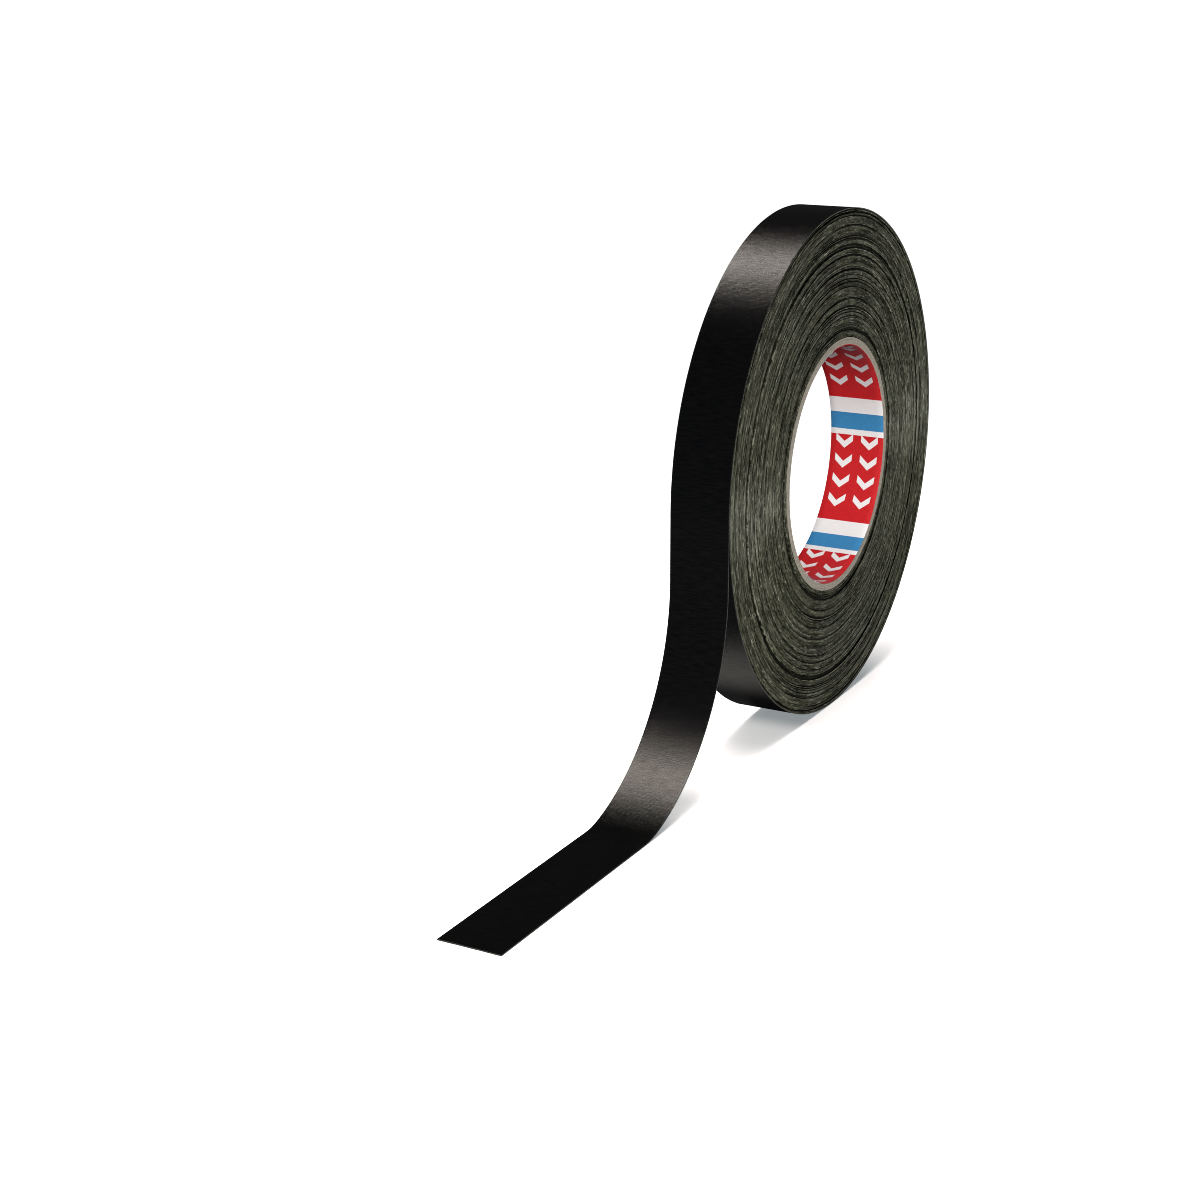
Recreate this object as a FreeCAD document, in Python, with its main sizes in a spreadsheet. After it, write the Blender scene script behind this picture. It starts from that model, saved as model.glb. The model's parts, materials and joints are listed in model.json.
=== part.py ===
import FreeCAD, Part
import math
import os
import Sketcher

# A roll of narrow black coated-cloth duct tape on a paperboard core, standing on
# its tread, with a free tail that leaves the roll at the left and runs down to
# the floor. Millimetres. Origin: centre of the core's bore, half way across the
# tape width. +Y runs along the roll's axis, +Z is up, the tail runs towards -X.

doc = FreeCAD.newDocument("tape_roll")

# ---------------------------------------------------------- driving dimensions
# alias, value, note
DIMENSIONS = [
    ("tape_width", 19.0, "width of the strip and of the core"),
    ("roll_radius", 80.8, "outermost coating surface, at the peel line"),
    ("coating", 0.07, "face coating of the strip"),
    ("cloth", 0.15, "woven cotton carrier of the strip"),
    ("adhesive", 0.09, "rubber adhesive of the strip"),
    ("turn_gap", 0.05, "free space where the outer turn overlaps its own start"),
    ("pack_gap", 0.05, "running clearance between wound tape and outer turn"),
    ("bore_radius", 38.1, "three inch core, inside the printed liner"),
    ("liner", 0.15, "printed paper liner"),
    ("ply", 0.75, "one of the three paperboard plies of the core"),
    ("bend_radius", 62.0, "main bend of the tail, on the coating"),
    ("bend_angle", 73.3, "turn of the main bend, in degrees"),
    ("landing_radius", 26.7, "short bend where the tail meets the floor"),
    ("flat_split", 170.5, "from the axis to the slit in the flat tail"),
    ("tail_tip", 208.3, "from the axis to the square-cut tip"),
    ("link_gap", 0.05, "slit between two neighbouring links of the tail"),
    ("groove_depth", 0.12, "how far the turns between ridges stand back"),
    ("groove_width", 0.62, "two turns of the strip"),
]
sheet = doc.addObject("Spreadsheet::Sheet", "Params")
for row, (alias, value, note) in enumerate(DIMENSIONS, start=1):
    sheet.set("A%d" % row, alias)
    sheet.set("B%d" % row, repr(value))
    sheet.set("C%d" % row, note)
    sheet.setAlias("B%d" % row, alias)
doc.recompute()

# Inner radius of each groove in the side faces of the wound tape
GROOVE_RADII = [
    42.3, 44.6, 46.2, 48.9, 51.1, 52.6, 55.4, 57.2, 60.1,
    62.3, 63.9, 66.4, 68.3, 70.9, 72.7, 75.2, 77.0, 78.6,
]
GROOVE_OVERCUT = 0.3  # how far a groove's profile reaches out past the side face
GROOVE_TOLERANCE = 0.02  # share by which the cut volume may miss the expected one


class Driven:
    """A number together with the sheet expression that drives it."""

    def __init__(self, number, text=None):
        self.number = float(number)
        self.text = repr(self.number) if text is None else text

    def __add__(self, other):
        other = as_driven(other)
        return Driven(self.number + other.number, "(%s + %s)" % (self.text, other.text))

    def __sub__(self, other):
        other = as_driven(other)
        return Driven(self.number - other.number, "(%s - %s)" % (self.text, other.text))

    def __mul__(self, other):
        other = as_driven(other)
        return Driven(self.number * other.number, "(%s * %s)" % (self.text, other.text))

    def __truediv__(self, other):
        other = as_driven(other)
        return Driven(self.number / other.number, "(%s / %s)" % (self.text, other.text))

    def __neg__(self):
        return Driven(-self.number, "(0 - %s)" % self.text)


def as_driven(value):
    return value if isinstance(value, Driven) else Driven(value)


def cell(alias):
    return Driven(getattr(sheet, alias), "Params.%s" % alias)


def cosine(angle):
    return Driven(math.cos(math.radians(angle.number)), "cos(%s * 1deg)" % angle.text)


def sine(angle):
    return Driven(math.sin(math.radians(angle.number)), "sin(%s * 1deg)" % angle.text)


# ---------------------------------------------------------- derived dimensions
half_width = cell("tape_width") * 0.5
roll_radius = cell("roll_radius")
coating, cloth = cell("coating"), cell("cloth")
thickness = coating + cloth + cell("adhesive")
pitch = thickness + cell("turn_gap")

# Layers of the strip, as near and far depths below the coating surface
LAYERS = [
    ("coating", Driven(0.0), coating),
    ("cloth", coating, coating + cloth),
    ("adhesive", coating + cloth, thickness),
]

# The outer turn is a one-turn spiral of two half circles. The lower half starts
# at the left, inside the tail, and the upper half ends at the peel line, one
# strip thickness and a gap further out. Radii are on the coating surface.
lower_x = pitch * 0.25
upper_x = -(pitch * 0.25)
lower_radius = roll_radius - pitch * 0.75
upper_radius = roll_radius - pitch * 0.25
floor_z = -lower_radius

# The tail, on its coating surface: straight down, a wide bend, a short landing
# bend, then flat on the floor. bend_x, bend_z and landing_x, landing_z are the
# centres of the two bends.
link_gap = cell("link_gap")
bend_radius, landing_radius = cell("bend_radius"), cell("landing_radius")
bend_angle = cell("bend_angle")
flat_z = floor_z + thickness
bend_x = -(roll_radius + bend_radius)
bend_z = flat_z + landing_radius + (bend_radius - landing_radius) * sine(bend_angle)
landing_x = bend_x + (bend_radius - landing_radius) * cosine(bend_angle)
landing_z = flat_z + landing_radius
bend_middle_z = bend_z - bend_radius * sine(bend_angle * 0.5)
bend_end_z = bend_z - bend_radius * sine(bend_angle)
bend_end_x = bend_x + bend_radius * cosine(bend_angle)
flat_split, tail_tip = cell("flat_split"), cell("tail_tip")

# -------------------------------------------------------------- sketch helpers
START, END, CENTRE = 1, 2, 3  # points of a sketch element
HORIZONTAL_AXIS = -1
ORIGIN = (-1, START)


def attached_sketch(body, name, role):
    """A sketch in the body, flat on one of its origin planes."""
    sketch = body.newObject("Sketcher::SketchObject", name)
    plane = next(f for f in body.Origin.OriginFeatures if f.Role == role)
    sketch.AttachmentSupport = [(plane, "")]
    sketch.MapMode = "FlatFace"
    return sketch


def new_body(name, role="XZ_Plane"):
    body = doc.addObject("PartDesign::Body", name)
    body.Label = name
    return body, attached_sketch(body, name + "_profile", role)


def circle(x, z, radius):
    return Part.Circle(FreeCAD.Vector(x, z, 0), FreeCAD.Vector(0, 0, 1), radius)


def arc(x, z, radius, start_degrees, end_degrees):
    start, end = math.radians(start_degrees), math.radians(end_degrees)
    return Part.ArcOfCircle(circle(x, z, radius), start, end)


def line(x0, z0, x1, z1):
    return Part.LineSegment(FreeCAD.Vector(x0, z0, 0), FreeCAD.Vector(x1, z1, 0))


def radial_line(x, z, inner, outer, degrees):
    """A line between two radii round a centre."""
    across, up = math.cos(math.radians(degrees)), math.sin(math.radians(degrees))
    return line(x + inner * across, z + inner * up, x + outer * across, z + outer * up)


def tie(sketch, kind, *refs):
    sketch.addConstraint(Sketcher.Constraint(kind, *refs))


def join(sketch, *pairs):
    """Makes the two points of each pair coincide."""
    for refs in pairs:
        tie(sketch, "Coincident", *refs)


def drive(sketch, kind, refs, value):
    """A dimension driven by the sheet."""
    number = sketch.addConstraint(Sketcher.Constraint(kind, *refs, value.number))
    sketch.setExpression("Constraints[%d]" % number, value.text)


def drive_x(sketch, element, point, value):
    drive(sketch, "DistanceX", (*ORIGIN, element, point), value)


def drive_y(sketch, element, point, value):
    """Drives the sketch's second coordinate, which is z on the XZ plane."""
    drive(sketch, "DistanceY", (*ORIGIN, element, point), value)


def rectangle(sketch, x_low, x_high, y_low, y_high):
    """Adds a rectangle between four driven edges."""
    left, right, bottom, top = (edge.number for edge in (x_low, x_high, y_low, y_high))
    first = sketch.GeometryCount
    sketch.addGeometry(
        [
            line(left, bottom, right, bottom),
            line(right, bottom, right, top),
            line(right, top, left, top),
            line(left, top, left, bottom),
        ],
        False,
    )
    for side in range(4):
        join(sketch, (first + side, END, first + (side + 1) % 4, START))
        tie(sketch, "Horizontal" if side % 2 == 0 else "Vertical", first + side)
    drive_x(sketch, first, START, x_low)
    drive_x(sketch, first, END, x_high)
    drive_y(sketch, first, START, y_low)
    drive_y(sketch, first + 1, END, y_high)


def pad(body, sketch):
    """Extrudes the profile half the width to each side of its plane."""
    width = cell("tape_width")
    feature = body.newObject("PartDesign::Pad", body.Name + "_width")
    feature.Profile = sketch
    feature.Length = width.number
    feature.setExpression("Length", width.text)
    # the property for a symmetric pad depends on the FreeCAD version
    if hasattr(feature, "SideType"):
        feature.SideType = "Symmetric"
    else:
        feature.Midplane = True
    sketch.Visibility = False


def turn_about_axis(body, sketch, kind, name):
    """A full Revolution or Groove of the profile round the roll's axis."""
    feature = body.newObject("PartDesign::" + kind, name)
    feature.Profile = sketch
    feature.ReferenceAxis = (sketch, ["V_Axis"])
    feature.Angle = 360.0
    sketch.Visibility = False
    doc.recompute()


# ------------------------------------------------------------------------ core
def tube(name, inner, outer):
    """A plain tube of the tape's width round the roll's axis."""
    body, sketch = new_body(name)
    for radius in (outer, inner):
        element = sketch.addGeometry(circle(0, 0, radius.number), False)
        join(sketch, (element, CENTRE, *ORIGIN))
        drive(sketch, "Radius", (element,), radius)
    pad(body, sketch)


def build_core():
    """Printed liner and three paperboard plies, glued to each other. Returns the
    core's outer radius."""
    inner = cell("bore_radius")
    for name, wall in (("liner", "liner"), ("inner_ply", "ply"),
                       ("middle_ply", "ply"), ("outer_ply", "ply")):
        outer = inner + cell(wall)
        tube("core_" + name, inner, outer)
        inner = outer
    return outer


# ------------------------------------------------------------------ wound tape
def build_wound_tape(core_radius):
    """About 127 turns pressed on each other, as one ring. Some turns stand back
    from the side faces, which shows as narrow grooves between the ridges."""
    body, sketch = new_body("wound_tape", "XY_Plane")
    pack_radius = lower_radius - lower_x - thickness - cell("pack_gap")
    rectangle(sketch, core_radius, pack_radius, -half_width, half_width)
    turn_about_axis(body, sketch, "Revolution", "wound_tape_ring")
    plain_volume = body.Shape.Volume

    cuts = attached_sketch(body, "wound_tape_grooves", "XY_Plane")
    depth, width = cell("groove_depth"), cell("groove_width")
    bottom, past_face = half_width - depth, half_width + GROOVE_OVERCUT
    for radius in GROOVE_RADII:
        inner = Driven(radius)
        rectangle(cuts, inner, inner + width, -past_face, -bottom)
        rectangle(cuts, inner, inner + width, bottom, past_face)
    turn_about_axis(body, cuts, "Groove", "wound_tape_set_back")

    # a groove feature can silently cut too little, so compare the volumes
    removed = plain_volume - body.Shape.Volume
    expected = sum(
        2.0 * math.pi * ((radius + width.number) ** 2 - radius**2) * depth.number
        for radius in GROOVE_RADII
    )
    if abs(removed - expected) > GROOVE_TOLERANCE * expected:
        raise SystemExit("wound_tape grooves cut %.1f mm3, not %.1f" % (removed, expected))


# ---------------------------------------------------------- outer turn and tail
def spiral_turn(name, near, far):
    """One layer of the outer turn, between two depths below the coating."""
    body, sketch = new_body(name)
    outer, inner = lower_radius - near, lower_radius - far
    upper_outer, upper_inner = (upper_radius - near).number, (upper_radius - far).number
    low_x, up_x = lower_x.number, upper_x.number
    sketch.addGeometry(
        [
            arc(low_x, 0, outer.number, 180, 360),
            arc(up_x, 0, upper_outer, 0, 180),
            arc(low_x, 0, inner.number, 180, 360),
            arc(up_x, 0, upper_inner, 0, 180),
            line(low_x - inner.number, 0, low_x - outer.number, 0),
            line(up_x - upper_inner, 0, up_x - upper_outer, 0),
        ],
        False,
    )
    low_out, up_out, low_in, up_in, start_edge, peel_edge = range(6)
    join(
        sketch,
        (low_out, CENTRE, low_in, CENTRE),
        (up_out, CENTRE, up_in, CENTRE),
        (low_out, END, up_out, START),
        (low_in, END, up_in, START),
        (start_edge, START, low_in, START),
        (start_edge, END, low_out, START),
        (peel_edge, START, up_in, END),
        (peel_edge, END, up_out, END),
    )
    for element, point in (
        (low_out, CENTRE), (up_out, CENTRE), (low_out, START), (low_out, END),
        (low_in, START), (low_in, END), (up_out, END), (up_in, END),
    ):
        tie(sketch, "PointOnObject", element, point, HORIZONTAL_AXIS)
    drive_x(sketch, low_out, CENTRE, lower_x)
    drive_x(sketch, up_out, CENTRE, upper_x)
    drive(sketch, "Radius", (low_out,), outer)
    drive(sketch, "Radius", (low_in,), inner)
    pad(body, sketch)


def straight_link(name, x_low, x_high, z_low, z_high):
    """One layer of a straight link of the tail."""
    body, sketch = new_body(name)
    rectangle(sketch, x_low, x_high, z_low, z_high)
    pad(body, sketch)


def drive_bend(sketch, outer_arc, inner_arc, x, z, outer, inner):
    """Drives the shared centre and the two radii of a bend."""
    drive_x(sketch, outer_arc, CENTRE, x)
    drive_y(sketch, outer_arc, CENTRE, z)
    drive(sketch, "Radius", (outer_arc,), outer)
    drive(sketch, "Radius", (inner_arc,), inner)


def bent_link(name, near, far, z_start, z_end):
    """One layer of a link on the main bend, between two heights of its coating
    surface. The coating is on the hollow side of the bend."""
    body, sketch = new_body(name)
    x, z = bend_x.number, bend_z.number
    outer, inner = bend_radius + far, bend_radius + near
    low_angle, high_angle = (
        math.degrees(math.asin((height.number - z) / bend_radius.number))
        for height in (z_end, z_start)
    )
    sketch.addGeometry(
        [
            arc(x, z, outer.number, low_angle, high_angle),
            arc(x, z, inner.number, low_angle, high_angle),
            radial_line(x, z, inner.number, outer.number, low_angle),
            radial_line(x, z, inner.number, outer.number, high_angle),
        ],
        False,
    )
    outer_arc, inner_arc, low_edge, high_edge = range(4)
    join(sketch, (outer_arc, CENTRE, inner_arc, CENTRE))
    for edge, point in ((low_edge, START), (high_edge, END)):
        join(sketch, (edge, START, inner_arc, point), (edge, END, outer_arc, point))
        tie(sketch, "PointOnObject", outer_arc, CENTRE, edge)
    drive_bend(sketch, outer_arc, inner_arc, bend_x, bend_z, outer, inner)
    # the end heights are those of the coating surface, carried out to this layer
    for point, height in ((START, z_end), (END, z_start)):
        carried = bend_z + (height - bend_z) * (outer / bend_radius)
        drive_y(sketch, outer_arc, point, carried)
    pad(body, sketch)


def landing_link(name, near, far, x_start, x_end):
    """One layer of the link that lands on the floor: a short bend, then flat."""
    body, sketch = new_body(name)
    x, z = landing_x.number, landing_z.number
    outer, inner = landing_radius + far, landing_radius + near
    low_z, high_z = z - outer.number, z - inner.number
    flat_end = x_end.number
    start_angle = -math.degrees(math.acos((x_start.number - x) / landing_radius.number))
    sketch.addGeometry(
        [
            arc(x, z, outer.number, -90, start_angle),
            arc(x, z, inner.number, -90, start_angle),
            line(x, low_z, flat_end, low_z),
            line(x, high_z, flat_end, high_z),
            line(flat_end, low_z, flat_end, high_z),
            radial_line(x, z, inner.number, outer.number, start_angle),
        ],
        False,
    )
    outer_arc, inner_arc, underside, top_side, end_edge, start_edge = range(6)
    join(
        sketch,
        (outer_arc, CENTRE, inner_arc, CENTRE),
        (outer_arc, START, underside, START),
        (inner_arc, START, top_side, START),
        (underside, END, end_edge, START),
        (top_side, END, end_edge, END),
        (start_edge, START, inner_arc, END),
        (start_edge, END, outer_arc, END),
    )
    tie(sketch, "Horizontal", underside)
    tie(sketch, "Horizontal", top_side)
    tie(sketch, "Vertical", end_edge)
    tie(sketch, "PointOnObject", outer_arc, CENTRE, start_edge)
    drive_bend(sketch, outer_arc, inner_arc, landing_x, landing_z, outer, inner)
    drive_x(sketch, outer_arc, START, landing_x)
    drive_x(sketch, inner_arc, START, landing_x)
    drive_x(sketch, end_edge, START, x_end)
    # the start is that of the coating surface, carried out to this layer
    carried = landing_x + (x_start - landing_x) * (outer / landing_radius)
    drive_x(sketch, outer_arc, END, carried)
    pad(body, sketch)


def build_strip_layer(layer, near, far):
    """One layer of the outer turn and of the five links, from peel line to tip."""
    spiral_turn("outer_turn_" + layer, near, far)
    straight_link("tail_1_" + layer, -(roll_radius - near), -(roll_radius - far),
                  bend_z, -link_gap)
    bent_link("tail_2_" + layer, near, far, bend_z - link_gap, bend_middle_z)
    bent_link("tail_3_" + layer, near, far, bend_middle_z - link_gap, bend_end_z)
    landing_link("tail_4_" + layer, near, far, bend_end_x - link_gap, -flat_split)
    straight_link("tail_5_" + layer, -tail_tip, -(flat_split + link_gap),
                  flat_z - far, flat_z - near)


# ----------------------------------------------------------- build and export
build_wound_tape(build_core())
for layer, near, far in LAYERS:
    build_strip_layer(layer, near, far)

doc.recompute()
for obj in doc.Objects:
    if "Invalid" in obj.State or "Error" in obj.State:
        raise SystemExit("%s failed: %s" % (obj.Name, obj.State))
bodies = [obj for obj in doc.Objects if obj.TypeId == "PartDesign::Body"]
for body in bodies:
    shape = body.Shape
    if shape.isNull() or not shape.isValid() or len(shape.Solids) != 1:
        raise SystemExit("%s is not one valid solid" % body.Label)
os.makedirs("parts", exist_ok=True)
for body in bodies:
    body.Shape.exportStep("parts/%s.step" % body.Label)
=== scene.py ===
# A roll of black cloth tape on a printed paperboard core, with a loose tail. The roll's axis is Y
# through the origin. The tail peels off at -X, drops, bends outwards and ends flat, towards -X.
# The front face is at -Y. Lengths are in mm unless said otherwise, and meshes are built in metres.
import json
import math

import bpy
import numpy as np
from mathutils import Matrix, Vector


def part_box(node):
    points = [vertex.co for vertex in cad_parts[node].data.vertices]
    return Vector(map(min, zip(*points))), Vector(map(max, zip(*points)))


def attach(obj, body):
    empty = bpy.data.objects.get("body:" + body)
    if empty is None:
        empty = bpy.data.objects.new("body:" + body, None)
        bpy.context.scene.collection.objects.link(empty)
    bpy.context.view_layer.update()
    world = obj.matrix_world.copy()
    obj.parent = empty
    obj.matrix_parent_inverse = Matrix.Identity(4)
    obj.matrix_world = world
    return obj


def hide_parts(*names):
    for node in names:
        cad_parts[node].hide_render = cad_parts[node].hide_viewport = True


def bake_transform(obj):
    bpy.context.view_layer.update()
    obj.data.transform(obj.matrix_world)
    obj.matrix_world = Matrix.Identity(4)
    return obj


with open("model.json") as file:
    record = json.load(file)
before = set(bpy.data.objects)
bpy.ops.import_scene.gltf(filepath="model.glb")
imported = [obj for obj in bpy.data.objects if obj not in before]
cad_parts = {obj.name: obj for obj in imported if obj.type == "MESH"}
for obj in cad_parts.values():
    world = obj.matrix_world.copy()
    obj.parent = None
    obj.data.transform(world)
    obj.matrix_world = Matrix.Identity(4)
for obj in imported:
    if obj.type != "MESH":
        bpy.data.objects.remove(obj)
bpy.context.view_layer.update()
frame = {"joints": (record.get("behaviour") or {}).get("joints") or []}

# ------------------------------------------------------------------ dimensions
MM = 0.001
JOINTS = {joint["name"]: joint for joint in frame["joints"]}


def hinge(name):
    """A joint's x and z."""
    place = JOINTS[name]["pos_m"]
    return np.array([place[0], place[2]]) / MM


def node_box(name):
    """A CAD piece's lowest and highest corners."""
    low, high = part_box(name)
    return np.array(low) / MM, np.array(high) / MM


PEEL, HINGE_2, HINGE_3, HINGE_4, HINGE_5 = (
    hinge(name)
    for name in ("tail_peel", "tail_bend_2", "tail_bend_3", "tail_bend_4", "tail_bend_5")
)
OUTER_LOW, OUTER_HIGH = node_box("outer_turn_coating")
TIP_LOW, TIP_HIGH = node_box("tail_5_coating")
HALF = OUTER_HIGH[1]  # half the tape's width
FLOOR = OUTER_LOW[2]

# the outermost turn: two half circles that make a spiral
RADIUS = -PEEL[0]  # coating surface at the peel line
LOWER_R = -FLOOR
SPIRAL_STEP = (RADIUS - LOWER_R) / 3.0
UPPER_R = RADIUS - SPIRAL_STEP

# the strip's layers: coating, cloth and adhesive as 7, 22 and 2 parts of 31
THICK = TIP_HIGH[2] - node_box("tail_5_adhesive")[0][2]
COAT = THICK * 7.0 / 31.0
CLOTH = THICK * 22.0 / 31.0

# the core and the wound tape
PLY_PITCH = 0.75
LINER_SPACE = 0.15  # room for the printed liner inside the plies
CORE_R = node_box("core_outer_ply")[1][0]
BORE_R = node_box("core_liner")[1][0] - LINER_SPACE
PACK_R = node_box("wound_tape")[1][0]
TURNS = 126  # wound turns below the outermost one
TURN_PITCH = (PACK_R + 0.32 - CORE_R) / (TURNS + 1)
BAND_BORDERS = [0, 26, 51, 76, 101, TURNS]
BAND_SEGMENTS = 420
RING_SEGMENTS = 540

# the tail: a straight drop, a wide bend, a tighter landing bend and a flat end
FLAT = TIP_HIGH[2]  # height of the flat end's coating
TIP = -TIP_LOW[0]
BEND_R = 62.0
BEND_ANGLE = math.radians(73.3)
LAND_R = 26.7
BEND_X, BEND_Z = -(RADIUS + BEND_R), HINGE_2[1]
LAND_X = BEND_X + (BEND_R - LAND_R) * math.cos(BEND_ANGLE)
LAND_Z = FLAT + LAND_R
assert abs(BEND_Z - BEND_R * math.sin(BEND_ANGLE) - HINGE_4[1]) < 0.05, "bend misses its hinge"

# where each stretch of the tail ends, measured along the strip from the peel line
DROP_END = -BEND_Z
BEND_END = DROP_END + BEND_R * BEND_ANGLE
LAND_END = BEND_END + LAND_R * (math.pi / 2 - BEND_ANGLE)
TAIL_END = LAND_END + (TIP + LAND_X)

# the strip's section and weave
COLUMNS = 25  # points across the film, and across the adhesive
EDGE = 5  # points down each cut edge
OUTER_STEP, TAIL_STEP = 0.7, 0.4  # spacing of sections along the strip
YARN_ALONG, YARN_ACROSS = 0.46, 0.40  # the weave's periods

# the liner's print, in degrees round from +X towards +Z; it runs towards smaller angles
LAP = 64.0  # where the liner's ends meet
RED_START = 66.7
REPEAT = 65.2


# --------------------------------------------------------------------- noise
def noise_1d(x, seed):
    """Smooth value noise from -1 to 1, with a knot at every whole x."""
    size = 4096
    table = np.random.default_rng(seed).uniform(-1, 1, size)
    knot = np.floor(x).astype(int)
    part = x - knot
    part = part * part * (3 - 2 * part)
    return table[knot % size] * (1 - part) + table[(knot + 1) % size] * part


def noise_2d(x, y, seed):
    """Smooth value noise from -1 to 1 over two coordinates, which may broadcast."""
    size = 512
    table = np.random.default_rng(seed).uniform(-1, 1, (size, size))
    i, j = np.floor(x).astype(int), np.floor(y).astype(int)
    along, up = x - i, y - j
    along, up = along * along * (3 - 2 * along), up * up * (3 - 2 * up)
    i0, i1, j0, j1 = i % size, (i + 1) % size, j % size, (j + 1) % size
    near = table[i0, j0] * (1 - along) + table[i1, j0] * along
    far = table[i0, j1] * (1 - along) + table[i1, j1] * along
    return near * (1 - up) + far * up


# -------------------------------------------------------------------- meshes
def make_mesh(name, points, quads, mats, sharp_deg, tris=(), face_mats=None):
    """An object from points in mm, smooth but for edges sharper than sharp_deg."""
    quads = np.asarray(quads, np.int64).reshape(-1, 4)
    tris = np.asarray(tris, np.int64).reshape(-1, 3)
    mesh = bpy.data.meshes.new(name)
    points = np.asarray(points, np.float64) * MM
    mesh.vertices.add(len(points))
    mesh.vertices.foreach_set("co", points.astype(np.float32).ravel())
    corners = np.concatenate([quads.ravel(), tris.ravel()])
    tri_starts = len(quads) * 4 + np.arange(len(tris)) * 3
    starts = np.concatenate([np.arange(len(quads)) * 4, tri_starts])
    mesh.loops.add(len(corners))
    mesh.loops.foreach_set("vertex_index", corners.astype(np.int32))
    mesh.polygons.add(len(starts))
    mesh.polygons.foreach_set("loop_start", starts.astype(np.int32))
    if face_mats is not None:
        mesh.polygons.foreach_set("material_index", np.asarray(face_mats, np.int32))
    mesh.update(calc_edges=True)
    mesh.validate()
    for mat in mats:
        mesh.materials.append(mat)
    mesh.polygons.foreach_set("use_smooth", np.ones(len(mesh.polygons), bool))
    mesh.set_sharp_from_angle(angle=math.radians(sharp_deg))
    piece = bpy.data.objects.new(name, mesh)
    bpy.context.scene.collection.objects.link(piece)
    return piece


def store_vectors(piece, name, vectors):
    """Stores a vector at each vertex, for the materials."""
    attribute = piece.data.attributes.new(name, "FLOAT_VECTOR", "POINT")
    attribute.data.foreach_set("vector", vectors.astype(np.float32).ravel())


def store_uv(piece, uv):
    """Adds the map for baked textures, one pair for each face corner."""
    layer = piece.data.uv_layers.new(name="OFBake")
    layer.data.foreach_set("uv", uv.reshape(-1, 2).astype(np.float32).ravel())


def tube_quads(spans, sections, loop):
    """Quads between neighbouring closed sections of loop points, and each corner's i and k."""
    i, k = np.meshgrid(np.arange(spans), np.arange(loop), indexing="ij")
    i = np.stack([i, i, i + 1, i + 1], -1).reshape(-1, 4)
    k = np.stack([k, k + 1, k + 1, k], -1).reshape(-1, 4)
    return (i % sections) * loop + k % loop, i, k


# ---------------------------------------------------------------- node trees
class Value:
    """A node's output. Arithmetic on it adds Math nodes."""

    def __init__(self, tree, socket):
        self.tree, self.socket = tree, socket

    def __add__(self, other):
        return self.tree.math("ADD", self, other)

    def __sub__(self, other):
        return self.tree.math("SUBTRACT", self, other)

    def __rsub__(self, other):
        return self.tree.math("SUBTRACT", other, self)

    def __mul__(self, other):
        return self.tree.math("MULTIPLY", self, other)

    def __truediv__(self, other):
        return self.tree.math("DIVIDE", self, other)

    def __abs__(self):
        return self.tree.math("ABSOLUTE", self)


class Tree:
    """Short hand for building the node tree of a material or world."""

    def __init__(self, owner):
        self.owner = owner
        owner.use_nodes = True
        self.node_tree = owner.node_tree
        self.node_tree.nodes.clear()

    def feed(self, socket, value):
        """Links a Value, or sets a number or an RGB colour."""
        if isinstance(value, Value):
            self.node_tree.links.new(value.socket, socket)
        elif isinstance(value, tuple):
            socket.default_value = (*value, 1.0)
        else:
            socket.default_value = value

    def node(self, kind, *values, props=None, **named):
        """A node whose inputs are fed by position, or by name with _ for each space."""
        node = self.node_tree.nodes.new("ShaderNode" + kind)
        for key, value in (props or {}).items():
            setattr(node, key, value)
        for socket, value in zip(node.inputs, values):
            self.feed(socket, value)
        for key, value in named.items():
            self.feed(node.inputs[key.replace("_", " ")], value)
        return node

    def make(self, kind, *values, output=0, **rest):
        """The given output of a new node."""
        return Value(self, self.node(kind, *values, **rest).outputs[output])

    def math(self, operation, first, second=0.0):
        return self.make("Math", first, second, 0.0, props={"operation": operation})

    def length(self, first, second):
        return self.math("SQRT", first * first + second * second)

    def xyz(self, vector):
        return [Value(self, out) for out in self.node("SeparateXYZ", vector).outputs]

    def attribute(self, name):
        """The three parts of a vector stored on the mesh."""
        props = {"attribute_type": "GEOMETRY", "attribute_name": name}
        return self.xyz(self.make("Attribute", output="Vector", props=props))

    def object_mm(self):
        """Object coordinates in mm."""
        place = self.make("TexCoord", output="Object")
        scaled = self.make("VectorMath", place, Scale=1000.0, props={"operation": "SCALE"})
        return self.xyz(scaled)

    def cylinder_mm(self):
        """x, y, z and the radius from the roll's axis, with the cosine and sine round it."""
        x, y, z = self.object_mm()
        radius = self.length(x, z)
        return x, y, z, radius, x / radius, z / radius

    def noise(self, x, y, z, scale=1.0, detail=2.0, rough=0.5):
        place = self.make("CombineXYZ", x, y, z)
        return self.make(
            "TexNoise", Vector=place, Scale=scale, Detail=detail, Roughness=rough, output="Fac"
        )

    def ramp(self, value, source, result=(0.0, 1.0), smooth=False):
        """Maps the source range to the result range, and holds beyond its ends."""
        props = {"interpolation_type": "SMOOTHSTEP" if smooth else "LINEAR", "clamp": True}
        return self.make("MapRange", value, *source, *result, props=props)

    def mix(self, factor, first, second, mode="MIX"):
        """Mixes two colours."""
        props = {"data_type": "RGBA", "blend_type": mode, "clamp_factor": True}
        node = self.node("Mix", factor, props=props)
        self.feed(node.inputs[6], first)
        self.feed(node.inputs[7], second)
        return Value(self, node.outputs[2])

    def bump(self, height, strength, distance):
        return self.make("Bump", Strength=strength, Distance=distance, Height=height)

    def finish(self, shader, kind="OutputMaterial"):
        """Links the shader to the output and gives back the material or world."""
        self.node(kind, shader)
        return self.owner

    def principled(self, **inputs):
        return self.finish(self.make("BsdfPrincipled", **inputs))


def new_material(name):
    return Tree(bpy.data.materials.new(name))


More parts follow.
